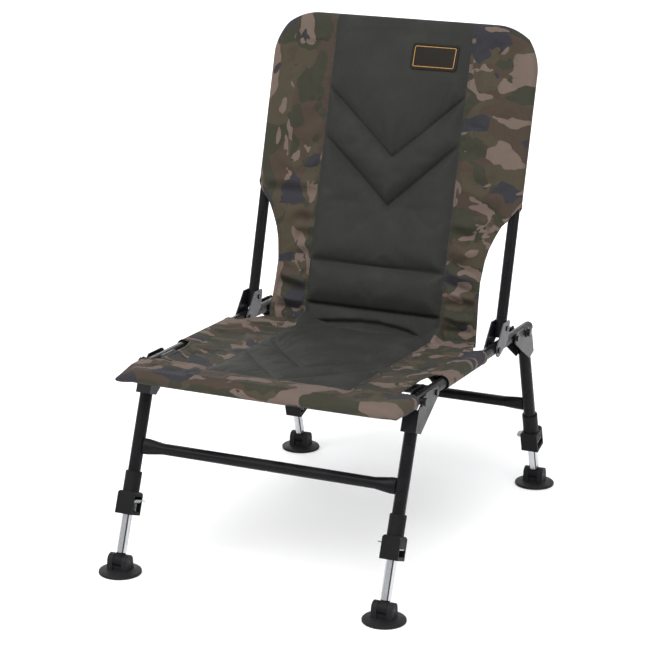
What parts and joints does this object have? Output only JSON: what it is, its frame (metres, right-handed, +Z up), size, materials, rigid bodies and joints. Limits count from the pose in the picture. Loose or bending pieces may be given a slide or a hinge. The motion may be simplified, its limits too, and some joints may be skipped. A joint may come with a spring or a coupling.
{
  "type": "folding carp fishing chair",
  "caption": "Low folding angling chair with a padded camouflage seat and back, steel frame, fold-under legs and telescopic legs on swivelling mud feet.",
  "frame": {"origin": "on the ground, midway between the four feet", "axes": "+Z up, the sitter faces -Y, +X is the right-hand side seen from the front (the sitter's left)"},
  "size_m": [0.5106, 0.7292, 0.7979],
  "materials": {
    "frame_paint": "satin black powder coat",
    "bracket_paint": "satin dark grey paint",
    "leg_aluminium": "bright drawn tube",
    "moulded_plastic": "matte black moulding",
    "foot_plastic": "matte black moulding",
    "zinc_plate": "zinc plated",
    "bolt_black": "blackened steel",
    "camo_cloth": "woven polyester, printed camouflage with a plain dark grey-green padded panel"
  },
  "bodies": {
    "seat": {"seat_frame": "frame_paint", "rail_end_cap_left": "moulded_plastic", "rail_end_cap_right": "moulded_plastic", "seat_cover": "camo_cloth", "back_pivot_bolt_left": "bolt_black", "back_pivot_bolt_right": "bolt_black", "front_left_pivot_bolt": "bolt_black", "front_left_stop_bolt": "bolt_black", "front_right_pivot_bolt": "bolt_black", "front_right_stop_bolt": "bolt_black", "rear_left_pivot_bolt": "bolt_black", "rear_left_stop_bolt": "bolt_black", "rear_right_pivot_bolt": "bolt_black", "rear_right_stop_bolt": "bolt_black"},
    "back": {"back_frame": "frame_paint", "back_cover": "camo_cloth", "back_hinge_left": "bracket_paint", "back_hinge_right": "bracket_paint", "back_rivet_left": "bolt_black", "back_rivet_right": "bolt_black"},
    "front_legs": {"front_cross_tube": "frame_paint", "front_left_leg_tube": "frame_paint", "front_left_leg_bracket": "bracket_paint", "front_left_lock_housing": "moulded_plastic", "front_left_lock_spring": "zinc_plate", "front_right_leg_tube": "frame_paint", "front_right_leg_bracket": "bracket_paint", "front_right_lock_housing": "moulded_plastic", "front_right_lock_spring": "zinc_plate"},
    "front_left_slider": {"front_left_inner_leg": "leg_aluminium", "front_left_knuckle": "moulded_plastic", "front_left_ankle_pin": "zinc_plate"},
    "front_left_foot": {"front_left_mud_foot": "foot_plastic"},
    "front_left_lock": {"front_left_lock_plate": "zinc_plate"},
    "front_right_slider": {"front_right_inner_leg": "leg_aluminium", "front_right_knuckle": "moulded_plastic", "front_right_ankle_pin": "zinc_plate"},
    "front_right_foot": {"front_right_mud_foot": "foot_plastic"},
    "front_right_lock": {"front_right_lock_plate": "zinc_plate"},
    "rear_legs": {"rear_cross_tube": "frame_paint", "rear_left_leg_tube": "frame_paint", "rear_left_leg_bracket": "bracket_paint", "rear_left_lock_housing": "moulded_plastic", "rear_left_lock_spring": "zinc_plate", "rear_right_leg_tube": "frame_paint", "rear_right_leg_bracket": "bracket_paint", "rear_right_lock_housing": "moulded_plastic", "rear_right_lock_spring": "zinc_plate"},
    "rear_left_slider": {"rear_left_inner_leg": "leg_aluminium", "rear_left_knuckle": "moulded_plastic", "rear_left_ankle_pin": "zinc_plate"},
    "rear_left_foot": {"rear_left_mud_foot": "foot_plastic"},
    "rear_left_lock": {"rear_left_lock_plate": "zinc_plate"},
    "rear_right_slider": {"rear_right_inner_leg": "leg_aluminium", "rear_right_knuckle": "moulded_plastic", "rear_right_ankle_pin": "zinc_plate"},
    "rear_right_foot": {"rear_right_mud_foot": "foot_plastic"},
    "rear_right_lock": {"rear_right_lock_plate": "zinc_plate"}
  },
  "joints": [
    {"name": "back_fold", "type": "hinge", "parent": "seat", "child": "back", "pos_m": [0, 0.10182, 0.30198], "axis": [1, 0, 0], "range_deg": [0, 103]},
    {"name": "front_fold", "type": "hinge", "parent": "seat", "child": "front_legs", "pos_m": [0, -0.16959, 0.30909], "axis": [1, 0, 0], "range_deg": [0, 109]},
    {"name": "front_left_slide", "type": "slide", "parent": "front_legs", "child": "front_left_slider", "axis": [0, 0.3502, 0.9367], "range_m": [-0.08, 0.055]},
    {"name": "front_left_swivel", "type": "hinge", "parent": "front_left_slider", "child": "front_left_foot", "pos_m": [-0.222, -0.33105, 0.02], "axis": [1, 0, 0], "range_deg": [-35, 35]},
    {"name": "front_left_release", "type": "hinge", "parent": "front_legs", "child": "front_left_lock", "pos_m": [-0.2346, -0.29886, 0.10611], "axis": [0, 0.9367, -0.3502], "range_deg": [0, 7], "stiffness_Nm_per_rad": 0.3, "springref_deg": -11.46, "deforming": ["front_left_lock_spring"]},
    {"name": "front_right_slide", "type": "slide", "parent": "front_legs", "child": "front_right_slider", "axis": [0, 0.3502, 0.9367], "range_m": [-0.08, 0.055]},
    {"name": "front_right_swivel", "type": "hinge", "parent": "front_right_slider", "child": "front_right_foot", "pos_m": [0.222, -0.33105, 0.02], "axis": [1, 0, 0], "range_deg": [-35, 35]},
    {"name": "front_right_release", "type": "hinge", "parent": "front_legs", "child": "front_right_lock", "pos_m": [0.2346, -0.29886, 0.10611], "axis": [0, -0.9367, 0.3502], "range_deg": [0, 7], "stiffness_Nm_per_rad": 0.3, "springref_deg": -11.46, "deforming": ["front_right_lock_spring"]},
    {"name": "rear_fold", "type": "hinge", "parent": "seat", "child": "rear_legs", "pos_m": [0, 0.18679, 0.29976], "axis": [-1, 0, 0], "range_deg": [0, 92]},
    {"name": "rear_left_slide", "type": "slide", "parent": "rear_legs", "child": "rear_left_slider", "axis": [0, -0.299, 0.9542], "range_m": [-0.08, 0.039]},
    {"name": "rear_left_swivel", "type": "hinge", "parent": "rear_left_slider", "child": "rear_left_foot", "pos_m": [-0.222, 0.33105, 0.02], "axis": [-1, 0, 0], "range_deg": [-35, 35]},
    {"name": "rear_left_release", "type": "hinge", "parent": "rear_legs", "child": "rear_left_lock", "pos_m": [-0.2346, 0.30872, 0.09128], "axis": [0, 0.9542, 0.299], "range_deg": [0, 7], "stiffness_Nm_per_rad": 0.3, "springref_deg": -11.46, "deforming": ["rear_left_lock_spring"]},
    {"name": "rear_right_slide", "type": "slide", "parent": "rear_legs", "child": "rear_right_slider", "axis": [0, -0.299, 0.9542], "range_m": [-0.08, 0.039]},
    {"name": "rear_right_swivel", "type": "hinge", "parent": "rear_right_slider", "child": "rear_right_foot", "pos_m": [0.222, 0.33105, 0.02], "axis": [-1, 0, 0], "range_deg": [-35, 35]},
    {"name": "rear_right_release", "type": "hinge", "parent": "rear_legs", "child": "rear_right_lock", "pos_m": [0.2346, 0.30872, 0.09128], "axis": [0, -0.9542, -0.299], "range_deg": [0, 7], "stiffness_Nm_per_rad": 0.3, "springref_deg": -11.46, "deforming": ["rear_right_lock_spring"]}
  ]
}
